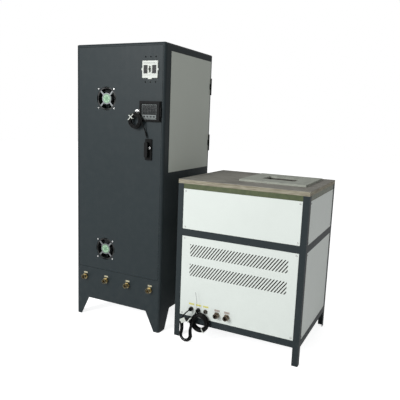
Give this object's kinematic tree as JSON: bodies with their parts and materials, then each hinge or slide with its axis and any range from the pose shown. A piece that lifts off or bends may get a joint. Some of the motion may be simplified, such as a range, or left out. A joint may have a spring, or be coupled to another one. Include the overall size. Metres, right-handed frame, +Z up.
{
  "type": "induction heating machine",
  "caption": "Upright power cabinet with a hinged front, fans, meter, breaker and latch, beside a heating table with a slotted top over a copper coil.",
  "frame": {"origin": "middle of the whole footprint, on the floor, measured without the cords", "axes": "+X to the right along the fronts, +Y from the fronts to the back, +Z up, the longest way"},
  "size_m": [1.3835, 0.6553, 1.6],
  "materials": {
    "slate_paint": "fine-textured satin powder coat",
    "grey_paint": "satin powder coat",
    "white_paint": "smooth satin powder coat",
    "zinc_sheet": "zinc-plated sheet",
    "black_metal": "black satin paint",
    "black_plastic": "moulded, fine grain",
    "button_plastic": "moulded",
    "white_plastic": "moulded",
    "bright_metal": "plated",
    "brass": "turned",
    "tape": "printed film without marks",
    "aluminium": "milled",
    "board_green": "solder-masked laminate",
    "copper": "drawn copper",
    "hose": "smooth hose",
    "insulation": "glass-fibre laminate",
    "table_board": "fibre-cement board",
    "slot_board": "mica board",
    "lining": "refractory lining",
    "core": "varnished laminations",
    "cord": "smooth jacket"
  },
  "bodies": {
    "stand": {"cabinet_shell": "slate_paint", "cabinet_floor": "zinc_sheet", "rear_panel": "slate_paint", "hinges": "black_metal", "breaker_case": "white_plastic", "water_fittings": "brass", "label_plates": "tape", "body_screws": "bright_metal", "mounting_plate": "zinc_sheet", "cold_plates": "aluminium", "power_modules": "black_plastic", "dc_capacitors": "aluminium", "contactor": "white_plastic", "control_board": "board_green", "busbars": "copper", "water_pipes": "hose", "table_frame": "slate_paint", "insulating_boards": "insulation", "top_board": "table_board", "slot_plate": "slot_board", "coil_lining": "lining", "induction_coil": "copper", "front_upper_panel": "white_paint", "louvred_panel": "white_paint", "side_panels": "white_paint", "table_rear_panels": "white_paint", "tank_capacitors": "aluminium", "tank_transformer": "core", "table_floor": "zinc_sheet", "table_sockets": "black_plastic", "table_coil": "cord", "table_coil_lead": "cord", "table_hank": "cord", "table_hank_lead": "cord", "table_plugs": "black_plastic", "table_ties": "white_plastic"},
    "front_door": {"front_door": "slate_paint", "latch_plate": "black_metal", "upper_fan_frame": "black_plastic", "lower_fan_frame": "black_plastic", "meter_case": "black_plastic", "meter_frame": "black_plastic", "cabinet_socket": "bright_metal", "door_screws": "bright_metal", "cabinet_coil": "cord", "cabinet_lead": "cord", "cabinet_plug": "black_plastic", "cabinet_tie": "white_plastic"},
    "upper_rotor": {"upper_fan_rotor": "black_plastic"},
    "lower_rotor": {"lower_fan_rotor": "black_plastic"},
    "handle": {"latch_handle": "black_metal"},
    "key": {"latch_key": "bright_metal"},
    "toggle": {"breaker_toggle": "black_plastic"},
    "side_door": {"side_door": "grey_paint", "side_leaves": "black_metal"},
    "button_1": {"meter_button_1": "button_plastic"},
    "button_2": {"meter_button_2": "button_plastic"},
    "button_3": {"meter_button_3": "button_plastic"},
    "button_4": {"meter_button_4": "button_plastic"}
  },
  "joints": [
    {"name": "front_door_hinge", "type": "hinge", "parent": "stand", "child": "front_door", "pos_m": [-0.6686, -0.292, 0.9], "axis": [0, 0, -1], "range_deg": [0, 95]},
    {"name": "side_door_hinge", "type": "hinge", "parent": "stand", "child": "side_door", "pos_m": [-0.0962, 0.2518, 1.2], "axis": [0, 0, 1], "range_deg": [0, 110]},
    {"name": "upper_fan_spin", "type": "hinge", "parent": "front_door", "child": "upper_rotor", "pos_m": [-0.479, -0.268, 1.303], "axis": [0, 1, 0], "continuous": true},
    {"name": "lower_fan_spin", "type": "hinge", "parent": "front_door", "child": "lower_rotor", "pos_m": [-0.479, -0.268, 0.436], "axis": [0, 1, 0], "continuous": true},
    {"name": "latch_handle_turn", "type": "hinge", "parent": "front_door", "child": "handle", "pos_m": [-0.199, -0.298, 1.066], "axis": [0, -1, 0], "range_deg": [0, 90]},
    {"name": "latch_key_turn", "type": "hinge", "parent": "front_door", "child": "key", "pos_m": [-0.181, -0.298, 1.046], "axis": [0, 1, 0], "range_deg": [0, 90]},
    {"name": "breaker_toggle_throw", "type": "hinge", "parent": "stand", "child": "toggle", "pos_m": [-0.192, -0.292, 1.459], "axis": [1, 0, 0], "range_deg": [-20, 20]},
    {"name": "meter_button_1_press", "type": "slide", "parent": "front_door", "child": "button_1", "axis": [0, 1, 0], "range_m": [0, 0.0012], "stiffness_N_per_m": 900},
    {"name": "meter_button_2_press", "type": "slide", "parent": "front_door", "child": "button_2", "axis": [0, 1, 0], "range_m": [0, 0.0012], "stiffness_N_per_m": 900},
    {"name": "meter_button_3_press", "type": "slide", "parent": "front_door", "child": "button_3", "axis": [0, 1, 0], "range_m": [0, 0.0012], "stiffness_N_per_m": 900},
    {"name": "meter_button_4_press", "type": "slide", "parent": "front_door", "child": "button_4", "axis": [0, 1, 0], "range_m": [0, 0.0012], "stiffness_N_per_m": 900}
  ]
}
